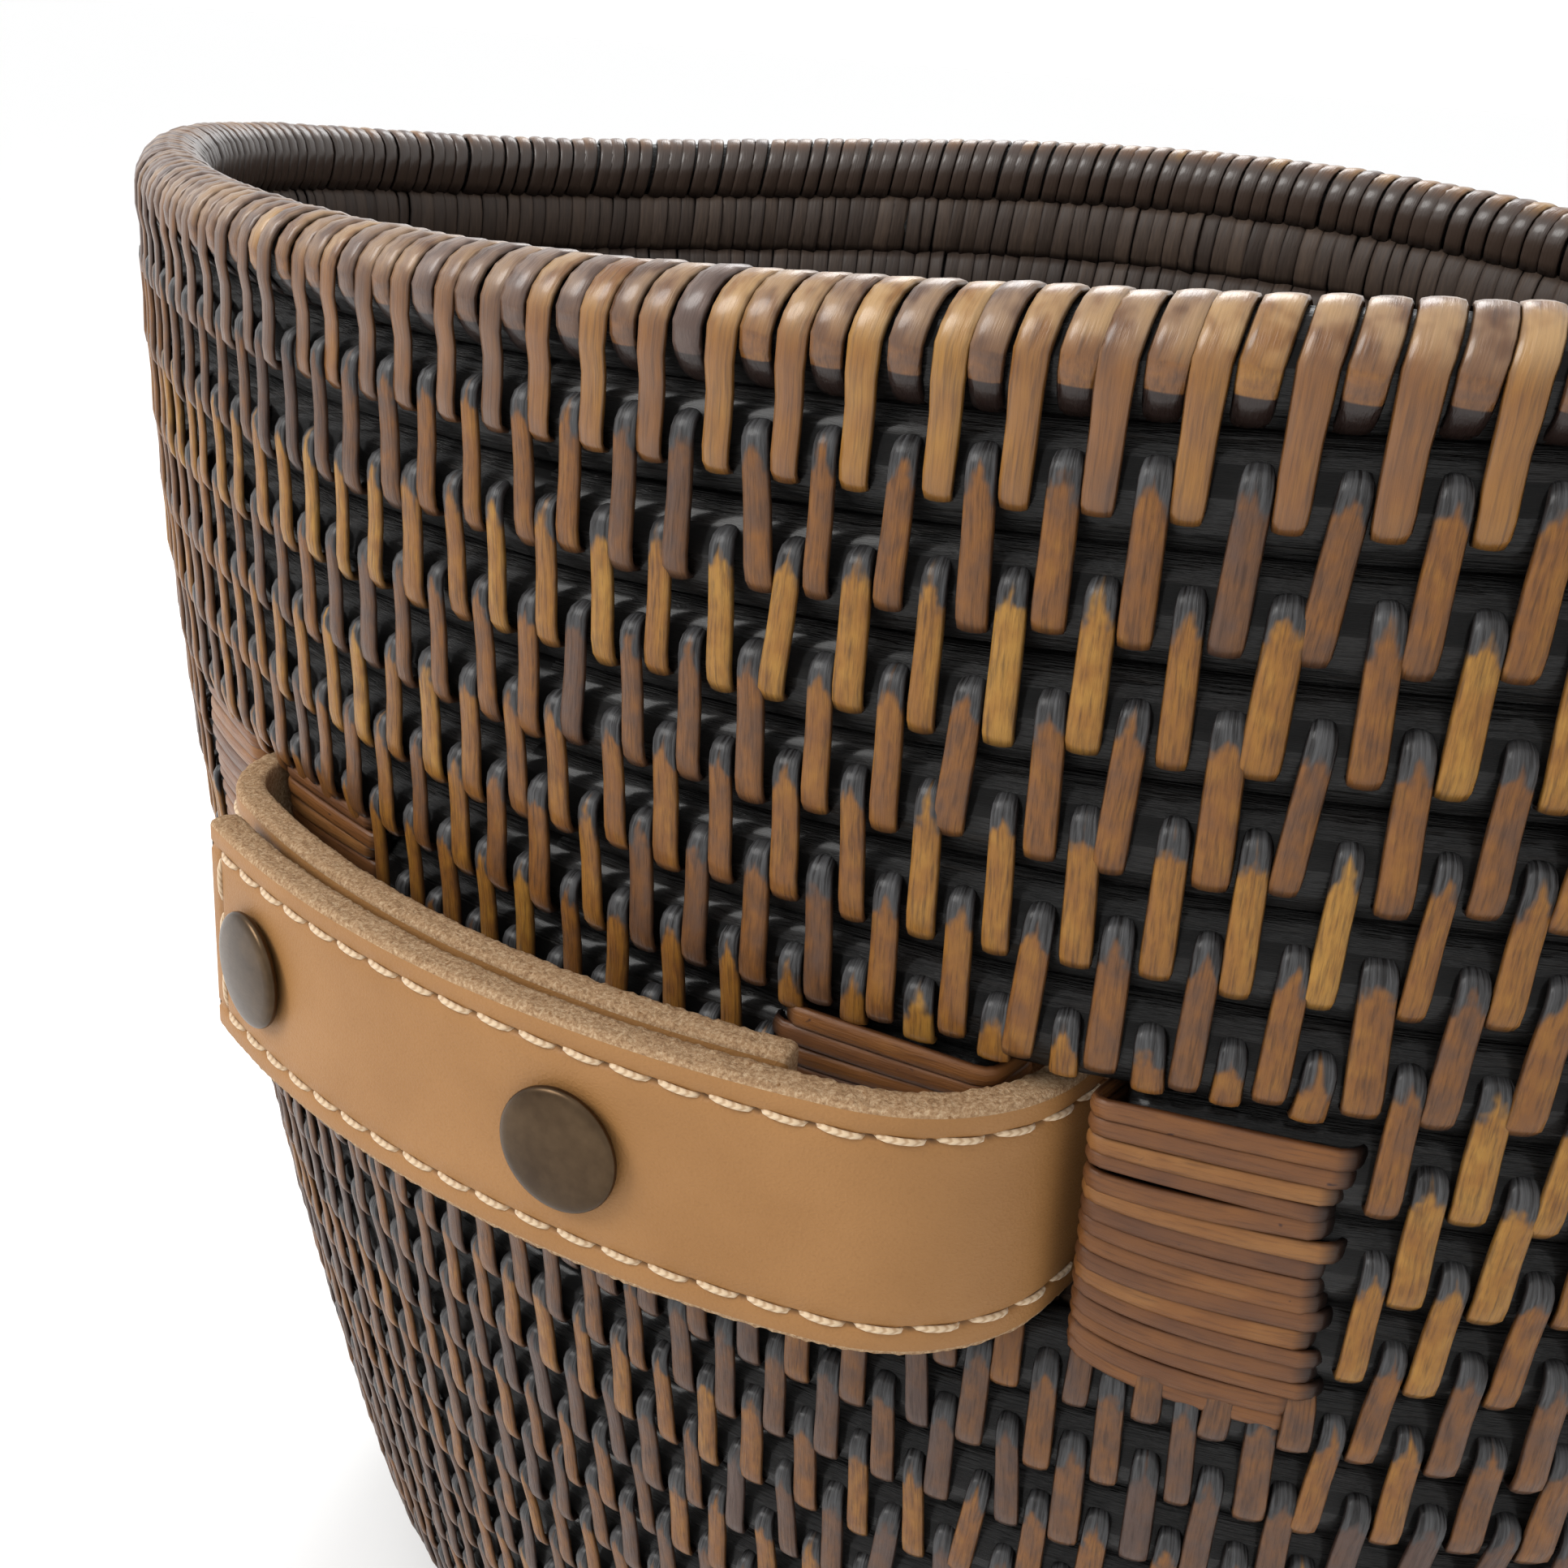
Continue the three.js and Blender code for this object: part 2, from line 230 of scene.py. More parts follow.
def ribbons(path, wide, width, thick, section=PEEL_SECTION):
    """Strips along count x rings paths. The crowned side faces along-path x wide."""
    along = unit(np.gradient(path, axis=1))
    wide = unit(wide - (wide * along).sum(-1, keepdims=True) * along)
    out = np.cross(along, wide)
    width = np.broadcast_to(width, path.shape[:2])[..., None, None] / 2
    thick = np.broadcast_to(thick, path.shape[:2])[..., None, None]
    across, rise = section[:, 0][:, None], section[:, 1][:, None]
    return path[:, :, None] + wide[:, :, None] * across * width + out[:, :, None] * rise * thick


def values(*parts):
    return np.stack(np.broadcast_arrays(*parts), -1)


def smooth_noise(rng, count, waves):
    """A looping curve of count values, about -1 to 1, made of a few waves."""
    turn = np.linspace(0, 2 * math.pi, count, endpoint=False)
    total = np.zeros(count)
    for wave in waves:
        total += rng.normal() * np.sin(wave * turn + rng.uniform(0, 2 * math.pi))
    return total / math.sqrt(len(waves))


# ---- Materials ----
def srgb(red, green, blue):
    channels = (red / 255, green / 255, blue / 255)
    linear = [c / 12.92 if c <= 0.04045 else ((c + 0.055) / 1.055) ** 2.4 for c in channels]
    return (*linear, 1.0)


class Look:
    """A Principled material and the nodes that feed it."""

    def __init__(self, name, **constants):
        self.material = bpy.data.materials.new(name)
        self.material.use_nodes = True
        self.tree = self.material.node_tree
        self.shader = self.tree.nodes["Principled BSDF"]
        for socket, value in constants.items():
            self.shader.inputs[socket.replace("_", " ")].default_value = value

    def node(self, kind, settings, inputs, output=0):
        made = self.tree.nodes.new(kind)
        for key, value in settings.items():
            setattr(made, key, value)
        for key, value in inputs.items():
            if isinstance(value, bpy.types.NodeSocket):
                self.tree.links.new(value, made.inputs[key])
            else:
                made.inputs[key].default_value = value
        return made.outputs[output]

    def attribute(self, label):
        return self.node("ShaderNodeAttribute", {"attribute_name": label}, {}, "Vector")

    def parts(self, label):
        source = self.attribute(label)
        made = self.tree.nodes.new("ShaderNodeSeparateXYZ")
        self.tree.links.new(source, made.inputs[0])
        return made.outputs[0], made.outputs[1], made.outputs[2]

    def scaled(self, vector, scale):
        inputs = {0: vector, 1: scale}
        return self.node("ShaderNodeVectorMath", {"operation": "MULTIPLY"}, inputs)

    def noise(self, vector, scale, detail=3.0, roughness=0.55):
        inputs = {"Vector": vector, "Scale": scale, "Detail": detail, "Roughness": roughness}
        return self.node("ShaderNodeTexNoise", {}, inputs, "Fac")

    def math(self, operation, first, second=0.0):
        return self.node("ShaderNodeMath", {"operation": operation}, {0: first, 1: second})

    def step(self, value, start, end):
        """0 below start, 1 above end, smooth between."""
        inputs = {"Value": value, "From Min": start, "From Max": end}
        settings = {"interpolation_type": "SMOOTHSTEP"}
        return self.node("ShaderNodeMapRange", settings, inputs)

    def ramp(self, value, stops):
        made = self.tree.nodes.new("ShaderNodeValToRGB")
        self.tree.links.new(value, made.inputs[0])
        ramp = made.color_ramp
        while len(ramp.elements) < len(stops):
            ramp.elements.new(0.5)
        for element, (place, colour) in zip(ramp.elements, stops):
            element.position = place
            element.color = colour
        return made.outputs[0]

    def mix(self, share, first, second):
        """A mix of two colours; a Mix node's colour sockets are 6 and 7 in, and 2 out."""
        inputs = {0: share, 6: first, 7: second}
        return self.node("ShaderNodeMix", {"data_type": "RGBA"}, inputs, 2)

    def colour(self, value):
        self.tree.links.new(value, self.shader.inputs["Base Color"])

    def roughness(self, value, low, high):
        inputs = {"Value": value, "To Min": low, "To Max": high}
        spread = self.node("ShaderNodeMapRange", {}, inputs)
        self.tree.links.new(spread, self.shader.inputs["Roughness"])

    def bump(self, height, strength, depth):
        inputs = {"Height": height, "Strength": strength, "Distance": depth * MM}
        made = self.node("ShaderNodeBump", {}, inputs)
        self.tree.links.new(made, self.shader.inputs["Normal"])


PEEL_TONES = [
    (0.0, srgb(74, 56, 48)),
    (0.25, srgb(88, 60, 40)),
    (0.5, srgb(111, 71, 33)),
    (0.75, srgb(129, 87, 35)),
    (1.0, srgb(147, 107, 46)),
]


def core_look():
    look = Look("dark_core", Specular_IOR_Level=0.25, Coat_Weight=0.2, Coat_Roughness=0.16)
    grain = look.attribute("grain")
    strands = look.noise(look.scaled(grain, (0.16, 1.9, 1.0)), 1.0, 4.0, 0.6)
    patches = look.noise(look.scaled(grain, (0.12, 0.12, 1.0)), 1.0, 2.0)
    tone = look.ramp(strands, [
        (0.3, srgb(4, 4, 4)), (0.56, srgb(9, 8, 7)), (0.76, srgb(30, 26, 23)),
    ])
    look.colour(look.mix(look.step(patches, 0.45, 0.75), tone, srgb(15, 11, 9)))
    look.roughness(strands, 0.28, 0.55)
    look.bump(strands, 1.0, 0.8)
    return look.material


def peel_look():
    """Stitches: along is 0 at the upper coil's crest and 1 at the lower one's."""
    look = Look("stitch_peel", Specular_IOR_Level=0.2, Coat_Weight=0.12, Coat_Roughness=0.2)
    along, across, tone = look.parts("weave")
    grain = look.attribute("grain")
    fibres = look.noise(look.scaled(grain, (2.6, 0.22, 1.0)), 1.0, 4.0, 0.6)
    blotch = look.noise(look.scaled(grain, (0.45, 0.3, 1.0)), 1.0, 2.0)
    varied = look.math("ADD", tone, look.math("MULTIPLY", look.math("SUBTRACT", blotch, 0.5), 0.75))
    bare = look.ramp(varied, PEEL_TONES)
    bare = look.mix(look.step(fibres, 0.42, 0.75), bare, look.mix(0.6, bare, srgb(40, 26, 20)))
    edge = look.math("MULTIPLY", look.math("ABSOLUTE", across), 0.2)
    line = look.math("SUBTRACT", along, edge)
    line = look.math("ADD", line, look.math("MULTIPLY", look.math("SUBTRACT", blotch, 0.5), 0.5))
    # Painted grey sheen over a dark stain: the top of each stitch, where it curves up over the
    # upper coil, is drawn grey.
    stain_and_sheen = look.ramp(fibres, [(0.35, srgb(24, 22, 22)), (0.65, srgb(68, 68, 69))])
    shown = look.mix(look.step(line, -0.16, 0.0), stain_and_sheen, bare)
    # Painted shade along both edges of each stitch, in the crevices between neighbouring stitches.
    sides = look.step(look.math("ABSOLUTE", across), 0.8, 1.02)
    shown = look.mix(look.math("MULTIPLY", sides, 0.7), shown, srgb(30, 20, 16))
    # Painted shade on the stitch's lower end, where it tucks into the groove under the lower coil.
    shown = look.mix(look.step(along, 1.13, 1.24), shown, srgb(34, 22, 18))
    look.colour(shown)
    look.roughness(fibres, 0.3, 0.5)
    look.bump(look.math("ADD", fibres, look.math("MULTIPLY", blotch, 0.6)), 0.55, 0.35)
    return look.material


def rim_look():
    """Rim wraps: along runs from -2 inside, through -1 on top and 0 outside, down the wall."""
    look = Look("rim_peel", Specular_IOR_Level=0.3, Coat_Weight=0.35, Coat_Roughness=0.2)
    along, across, tone = look.parts("weave")
    grain = look.attribute("grain")
    fibres = look.noise(look.scaled(grain, (2.4, 0.2, 1.0)), 1.0, 4.0, 0.6)
    blotch = look.noise(look.scaled(grain, (0.3, 0.25, 1.0)), 1.0, 2.0)
    varied = look.math("ADD", tone, look.math("MULTIPLY", look.math("SUBTRACT", blotch, 0.5), 0.6))
    bare = look.ramp(varied, PEEL_TONES)
    bare = look.mix(look.step(fibres, 0.42, 0.75), bare, look.mix(0.5, bare, srgb(44, 30, 24)))
    # A paler top on the wraps: partly wear, partly a painted sheen where they face up.
    wear_and_sheen = look.math("MULTIPLY", look.step(along, -1.5, -0.85), look.step(along, 0.1, -0.45))
    wear_and_sheen = look.math("MULTIPLY", wear_and_sheen, look.step(blotch, 0.3, 0.6))
    pale = look.ramp(varied, [(0.1, srgb(116, 97, 88)), (0.75, srgb(172, 140, 98))])
    shown = look.mix(look.math("MULTIPLY", wear_and_sheen, 0.7), bare, pale)
    shown = look.mix(look.step(along, -1.1, -1.7), shown, srgb(60, 48, 41))
    # Painted shade along both edges of each wrap, in the thin crevices between neighbouring wraps.
    sides = look.step(look.math("ABSOLUTE", across), 0.82, 1.02)
    shown = look.mix(look.math("MULTIPLY", sides, 0.65), shown, srgb(28, 18, 15))
    # Painted shade where the wraps tuck under: the long wraps' lower ends and most of each short
    # wrap's tail.
    shown = look.mix(look.step(along, 1.13, 1.24), shown, srgb(34, 22, 18))
    look.colour(shown)
    look.roughness(fibres, 0.26, 0.46)
    look.bump(look.math("ADD", fibres, look.math("MULTIPLY", blotch, 0.8)), 0.5, 0.35)
    return look.material


def inner_look():
    look = Look("inner_peel", Specular_IOR_Level=0.25)
    _, across, tone = look.parts("weave")
    grain = look.attribute("grain")
    fibres = look.noise(look.scaled(grain, (1.8, 0.2, 1.0)), 1.0, 3.0)
    varied = look.math("ADD", tone, look.math("MULTIPLY", look.math("SUBTRACT", fibres, 0.5), 0.8))
    shown = look.ramp(varied, [
        (0.0, srgb(41, 33, 29)), (0.5, srgb(58, 47, 40)), (1.0, srgb(80, 65, 54)),
    ])
    # Painted shade along both edges of each rib, between neighbouring ribs.
    sides = look.step(look.math("ABSOLUTE", across), 0.7, 1.02)
    look.colour(look.mix(look.math("MULTIPLY", sides, 0.6), shown, srgb(20, 15, 14)))
    look.roughness(fibres, 0.45, 0.65)
    look.bump(fibres, 0.5, 0.3)
    return look.material


def lashing_look():
    """Strands: along is 0 at the far end and 1 at the slot."""
    look = Look("lashing_peel", Specular_IOR_Level=0.22, Coat_Weight=0.04, Coat_Roughness=0.28)
    along, across, tone = look.parts("weave")
    grain = look.attribute("grain")
    fibres = look.noise(look.scaled(grain, (0.18, 2.4, 1.0)), 1.0, 4.0, 0.6)
    blotch = look.noise(look.scaled(grain, (0.13, 0.2, 1.0)), 1.0, 2.0)
    varied = look.math("ADD", tone, look.math("MULTIPLY", look.math("SUBTRACT", blotch, 0.5), 0.8))
    bare = look.ramp(varied, [
        (0.0, srgb(76, 50, 36)), (0.35, srgb(97, 62, 37)), (0.7, srgb(113, 72, 37)),
        (1.0, srgb(130, 89, 49)),
    ])
    bare = look.mix(look.step(fibres, 0.45, 0.78), bare, look.mix(0.5, bare, srgb(54, 33, 22)))
    spots = look.noise(look.scaled(grain, (0.5, 0.7, 1.0)), 1.0, 1.0)
    bare = look.mix(look.step(spots, 0.74, 0.8), bare, srgb(52, 32, 26))
    # Painted shade along both edges of each strand, between neighbouring strands.
    sides = look.step(look.math("ABSOLUTE", across), 0.72, 1.02)
    shown = look.mix(look.math("MULTIPLY", sides, 0.75), bare, srgb(52, 28, 18))
    # Painted shade on the strands' far ends, where they dip into the wall.
    shown = look.mix(look.step(along, 0.07, 0.0), shown, srgb(26, 18, 16))
    look.colour(shown)
    look.roughness(fibres, 0.32, 0.5)
    look.bump(look.math("ADD", fibres, look.math("MULTIPLY", blotch, 0.5)), 0.5, 0.35)
    return look.material


def leather_look():
    """The grain side. The third weave value is 1 in the seam's holes, which are painted with shade.
    """
    look = Look("leather_face", Specular_IOR_Level=0.22)
    _, across, hole = look.parts("weave")
    grain = look.attribute("grain")
    pores = look.node(
        "ShaderNodeTexVoronoi", {"feature": "DISTANCE_TO_EDGE"},
        {"Vector": look.scaled(grain, (1.0, 1.15, 1.0)), "Scale": 1.5}, "Distance",
    )
    fine = look.noise(grain, 2.4, 4.0, 0.6)
    cloud = look.noise(grain, 0.05, 3.0)
    shown = look.ramp(cloud, [(0.3, srgb(138, 98, 56)), (0.7, srgb(148, 107, 64))])
    speckle = look.math("MULTIPLY", look.step(fine, 0.5, 0.75), 0.25)
    shown = look.mix(speckle, shown, srgb(122, 85, 48))
    rim = look.step(look.math("ABSOLUTE", across), 0.94, 1.0)
    shown = look.mix(look.math("MULTIPLY", rim, 0.35), shown, srgb(128, 90, 54))
    # Painted shade in the seam's holes and, more lightly, in the groove across the free end.
    shown = look.mix(look.math("MULTIPLY", hole, 0.85), shown, srgb(44, 25, 13))
    look.colour(shown)
    look.roughness(fine, 0.42, 0.6)
    height = look.math("ADD", look.math("MULTIPLY", look.step(pores, 0.0, 0.3), 0.5), fine)
    look.bump(height, 0.35, 0.12)
    return look.material


def cut_look():
    look = Look("leather_cut", Specular_IOR_Level=0.15)
    grain = look.attribute("grain")
    fibres = look.noise(look.scaled(grain, (1.0, 1.0, 1.0)), 1.9, 5.0, 0.7)
    fleck = look.noise(grain, 0.9, 3.0)
    shown = look.ramp(fibres, [
        (0.3, srgb(122, 90, 62)), (0.5, srgb(162, 131, 98)), (0.7, srgb(198, 172, 140)),
    ])
    look.colour(look.mix(look.step(fleck, 0.62, 0.75), shown, srgb(126, 90, 56)))
    look.roughness(fibres, 0.75, 0.95)
    look.bump(fibres, 0.8, 0.5)
    return look.material


def thread_look():
    look = Look("waxed_thread", Sheen_Weight=0.2)
    along, _, _ = look.parts("weave")
    grain = look.attribute("grain")
    ply = look.node(
        "ShaderNodeTexWave", {"wave_type": "BANDS", "bands_direction": "DIAGONAL"},
        {"Vector": grain, "Scale": 0.55, "Distortion": 0.4}, "Fac",
    )
    shown = look.ramp(ply, [(0.0, srgb(168, 138, 104)), (0.6, srgb(200, 176, 144))])
    # Painted shade on the thread's ends, where it dips into its holes.
    look.colour(look.mix(look.step(along, 0.8, 1.0), shown, srgb(112, 80, 52)))
    look.roughness(ply, 0.55, 0.75)
    look.bump(ply, 0.35, 0.15)
    return look.material


def brass_look():
    look = Look("antique_brass", Metallic=1.0)
    place = look.node("ShaderNodeTexCoord", {}, {}, "Object")
    cloud = look.noise(place, 160.0, 4.0, 0.6)
    brushed = look.noise(look.scaled(place, (1.0, 1.0, 5.0)), 900.0, 3.0)
    shown = look.ramp(cloud, [(0.3, srgb(62, 49, 36)), (0.7, srgb(84, 68, 51))])
    look.colour(shown)
    look.roughness(brushed, 0.26, 0.4)
    look.bump(brushed, 0.15, 0.04)
    return look.material


CORE = core_look()
STITCH = peel_look()
RIM = rim_look()
INNER = inner_look()
LASHING = lashing_look()
LEATHER = leather_look()
CUT = cut_look()
THREAD = thread_look()
BRASS = brass_look()


# ---- Coils ----
def core_rings(angles, drop, rng, jitter=1.0):
    """Section rings of one coil's core at those angles, as a bundle with slight swellings."""
    swell = 1 + 0.02 * jitter * smooth_noise(rng, len(angles), (9, 17, 31, 53))[:, None]
    lift = 0.2 * jitter * smooth_noise(rng, len(angles), (5, 11, 23))[:, None]
    depth = CORE_DEPTH * swell * np.cos(CORE_TURN)
    rise = CORE_HALF_HEIGHT * np.sin(CORE_TURN)
    return on_wall(angles[:, None], drop - rise + lift, CORE_MIDDLE + depth)


def core_values(angles, drop, coil):
    mm = np.cumsum(np.concatenate([[0], np.diff(angles)])) / angle_per_mm(angles, drop)
    round_mm = np.arange(12) * 3.0
    return values(mm[:, None], round_mm[None] + coil * 40.0, coil * 7.3)


def slot_angle(coil, x):
    short = RIM_SHORT - wall_inset(coil * COIL) + CORE_MIDDLE
    return math.asin(x / (short + STRETCH))


def build_cores():
    rng = np.random.default_rng(SEED)
    pile = Pile()
    for coil in range(1, COILS + 1):
        drop = coil * COIL
        if coil in SLOT_ROWS:
            near = slot_angle(coil, SLOT_X - SLOT_HALF - CORE_SHY)
            far = slot_angle(coil, SLOT_X + SLOT_HALF + CORE_SHY)
            spans = [
                (-near, near), (far, math.pi - far),
                (math.pi - near, math.pi + near), (math.pi + far, 2 * math.pi - far),
            ]
            for start, end in spans:
                angles = np.linspace(start, end, max(24, int(52 * (end - start))))
                rings = core_rings(angles, drop, rng, 0.5)
                pile.add(rings[None], 0.0, core_values(angles, drop, coil)[None])
        else:
            angles = np.linspace(0, 2 * math.pi, 320, endpoint=False)
            rings = core_rings(angles, drop, rng)
            pile.add(rings[None], 0.0, core_values(angles, drop, coil)[None], looped=True)
    pile.build("wall_core", "basket", [CORE], "rattan", ["wall_coils"])


# ---- Stitches on the wall ----
# Paths run downwards as (distance below the upper coil's centre, offset of the seat).
LONG_PATH = np.array([
    (-2.7, -0.5), (-2.55, 0.6), (-2.15, 1.25), (-1.4, 1.65), (-0.2, 1.8), (2.6, 1.7),
    (6.2, 1.65), (9.6, 1.85), (12.4, 2.0), (14.1, 1.8), (14.9, 1.4), (15.1, -0.2),
])
# Above a slot the stitch turns in under its coil, and below a slot it comes out from the edge.
CUT_SHORT_PATH = np.array([
    (-2.7, -0.5), (-2.55, 0.6), (-2.15, 1.25), (-1.4, 1.65), (-0.2, 1.75), (1.2, 1.5),
    (2.6, 1.25), (3.6, 1.1), (4.3, 0.9), (4.7, 0.5), (5.0, -0.2), (5.1, -1.0),
])
EMERGING_PATH = np.array([
    (4.6, -1.0), (5.4, -0.4), (6.2, 0.2), (7.2, 0.8), (8.2, 1.2), (9.6, 1.5),
    (11.0, 1.7), (12.4, 1.8), (13.4, 1.75), (14.1, 1.65), (14.8, 1.2), (15.0, -0.2),
])
WRAP_PATH = np.array([  # round the lowest coil alone
    (-6.2, -3.0), (-5.0, -0.9), (-3.8, 0.4), (-2.2, 1.2), (-0.6, 1.5), (0.6, 1.5),
    (2.2, 1.2), (3.8, 0.4), (5.0, -0.9), (5.9, -2.6), (6.2, -3.6), (6.3, -4.2),
])
LONG_WIDTH = np.array([0.66, 0.8, 0.9, 0.95, 0.97, 0.98, 1.0, 1.02, 1.03, 1.02, 0.98, 0.88])


def row_tone(row):
    """How bare and golden a row's stitches are: it varies from row to row, and less down low."""
    wave = (0.62, 0.34, 0.74, 0.46, 0.66, 0.4, 0.58, 0.5, 0.62, 0.38, 0.46, 0.3)
    tone = wave[row % len(wave)]
    return tone - 0.22 * min(1, max(0, (row - 8) / 5))


def stitches(path, columns, row, rng, tones):
    """One row's stitches at those columns, with the hand-made irregularities."""
    count = len(columns)
    middle = angle_of(columns)[:, None]
    start = row * COIL
    lengthen = rng.normal(0, 0.35, (count, 1)) * np.linspace(0, 1, len(path))
    drop = start + path[:, 0] + lengthen
    offset = path[:, 1] + rng.normal(0, 0.1, (count, 1))
    lean = rng.normal(0.2, 0.45, (count, 1)) * (path[:, 0] / COIL)
    shift = lean + rng.normal(0, 0.25, (count, 1))
    per_mm = angle_per_mm(middle, start)
    angle = middle + shift * per_mm
    line = on_wall(angle, drop, offset)
    beside = on_wall(angle + per_mm, drop, offset) - line
    pitch = (angle_of(columns + 0.5) - angle_of(columns - 0.5))[:, None] / per_mm
    share = rng.normal(0.405, 0.03, (count, 1))
    thick = PEEL * rng.normal(1, 0.08, (count, 1))
    points = ribbons(line, beside, pitch * share * LONG_WIDTH, thick)
    along = values(
        (path[:, 0] / COIL)[None, :, None], PEEL_SECTION[:, 0], tones[:, None, None],
    )
    seeds = rng.uniform(0, 400, (count, 1, 1))
    width_mm = PEEL_SECTION[:, 0] * PEEL_GRAIN
    grain = values(width_mm + seeds, path[:, 0][None, :, None], seeds * 0.37)
    return points, along, grain


def build_stitches():
    rng = np.random.default_rng(SEED + 1)
    groups = {
        "upper": range(1, 7), "middle": range(7, 13), "lower": range(13, 19), "foot": range(19, 25),
    }
    for label, rows in groups.items():
        pile = Pile()
        for row in rows:
            columns = np.arange(COLUMNS) + row * COLUMN_DRIFT + 0.18
            x = on_wall(angle_of(columns), row * COIL, 0.0)[:, 0]
            drift = smooth_noise(rng, COLUMNS, (2, 5, 9, 14)) * 0.1
            tones = row_tone(row) + drift + rng.normal(0, 0.1, COLUMNS)
            tones = tones + 0.12 * np.sin(angle_of(columns))
            blocked = (np.abs(x) > BLOCK_X[0]) & (np.abs(x) < BLOCK_X[1])
            if row == COILS:
                plans = [(WRAP_PATH, np.ones(COLUMNS, bool))]
            elif row == SLOT_ROWS[0] - 1:
                plans = [(LONG_PATH, ~blocked), (CUT_SHORT_PATH, blocked)]
            elif row in SLOT_ROWS[:-1]:
                plans = [(LONG_PATH, ~blocked)]
            elif row == SLOT_ROWS[-1]:
                plans = [(LONG_PATH, ~blocked), (EMERGING_PATH, blocked)]
            else:
                plans = [(LONG_PATH, np.ones(COLUMNS, bool))]
            for path, used in plans:
                pile.add(*stitches(path, columns[used], row, rng, tones[used]))
        pile.build(f"wall_stitches_{label}", "basket", [STITCH], "rattan", ["wall_coils"])


RIB_PATH = np.array([
    (-6.2, -7.0), (-4.4, -8.2), (-1.8, -8.8), (1.8, -8.8), (4.4, -8.2), (6.2, -7.0),
])


def build_inner_ribs():
    """The backs of the stitches: ribs that cover each coil on the inside."""
    rng = np.random.default_rng(SEED + 2)
    groups = {"upper": range(1, 9), "middle": range(9, 17), "lower": range(17, 25)}
    for label, rows in groups.items():
        pile = Pile()
        for row in rows:
            columns = np.arange(0, COLUMNS, 0.5) + row * COLUMN_DRIFT
            if row in SLOT_ROWS:
                x = on_wall(angle_of(columns), row * COIL, LINING)[:, 0]
                columns = columns[(np.abs(x) < BLOCK_X[0]) | (np.abs(x) > BLOCK_X[1])]
            count = len(columns)
            middle = angle_of(columns)[:, None]
            per_mm = angle_per_mm(middle, row * COIL)
            drop = row * COIL + RIB_PATH[:, 0]
            lean = rng.normal(0.9, 0.3, (count, 1)) * RIB_PATH[:, 0] / COIL
            angle = middle + (lean + rng.normal(0, 0.15, (count, 1))) * per_mm
            line = on_wall(angle, drop, RIB_PATH[:, 1] + rng.normal(0, 0.12, (count, 1)))
            beside = line - on_wall(angle + per_mm, drop, RIB_PATH[:, 1])
            pitch = (angle_of(columns + 0.25) - angle_of(columns - 0.25))[:, None] / per_mm
            points = ribbons(line, beside, pitch * rng.normal(1.02, 0.03, (count, 1)), 0.5)
            tones = 0.45 + rng.normal(0, 0.12, (count, 1, 1)) + 0.1 * math.sin(row * 2.1)
            across = PEEL_SECTION[:, 0]
            seeds = rng.uniform(0, 400, (count, 1, 1))
            weave = values((RIB_PATH[:, 0] / COIL)[None, :, None], across, tones)
            grain = values(across * PEEL_GRAIN + seeds, RIB_PATH[:, 0][None, :, None], seeds)
            pile.add(points, weave, grain)
        pile.build(f"inner_ribs_{label}", "basket", [INNER], "rattan", ["wall_coils"])


# ---- Rim ----
RIM_SEAT = 5.5  # radius that the rim's wraps lie on, just outside its core


def rim_paths():
    """Wraps round the rim coil, from inside over the top: (drop, offset, along) for each kind."""
    turn = np.radians([192, 170, 148, 126, 104, 82, 60, 40, 20, 4])
    over = np.stack([
        -RIM_SEAT * np.sin(turn), CORE_MIDDLE + RIM_SEAT * np.cos(turn), -turn / (math.pi / 2),
    ], -1)
    inside = np.array([(6.2, -7.4, -2.7), (3.9, -8.6, -2.4)])
    long_tail = [
        (3.2, 1.95), (6.4, 1.45), (9.4, 1.5), (12.4, 1.75), (14.0, 1.65), (14.7, 1.2), (14.9, -0.2),
    ]
    short_tail = [
        (1.6, 1.6), (2.9, 1.0), (4.0, 0.2), (4.7, -0.6), (5.2, -1.5), (5.5, -2.4), (5.7, -3.2),
    ]
    paths = []
    # The short tails' along values run six times faster, so that most of each short tail falls in
    # the rim material's painted shade.
    for tail, pace in ((long_tail, 1), (short_tail, 6)):
        tail = [(drop, offset, pace * drop / COIL) for drop, offset in tail]
        paths.append(np.concatenate([inside, over, tail]))
    return paths


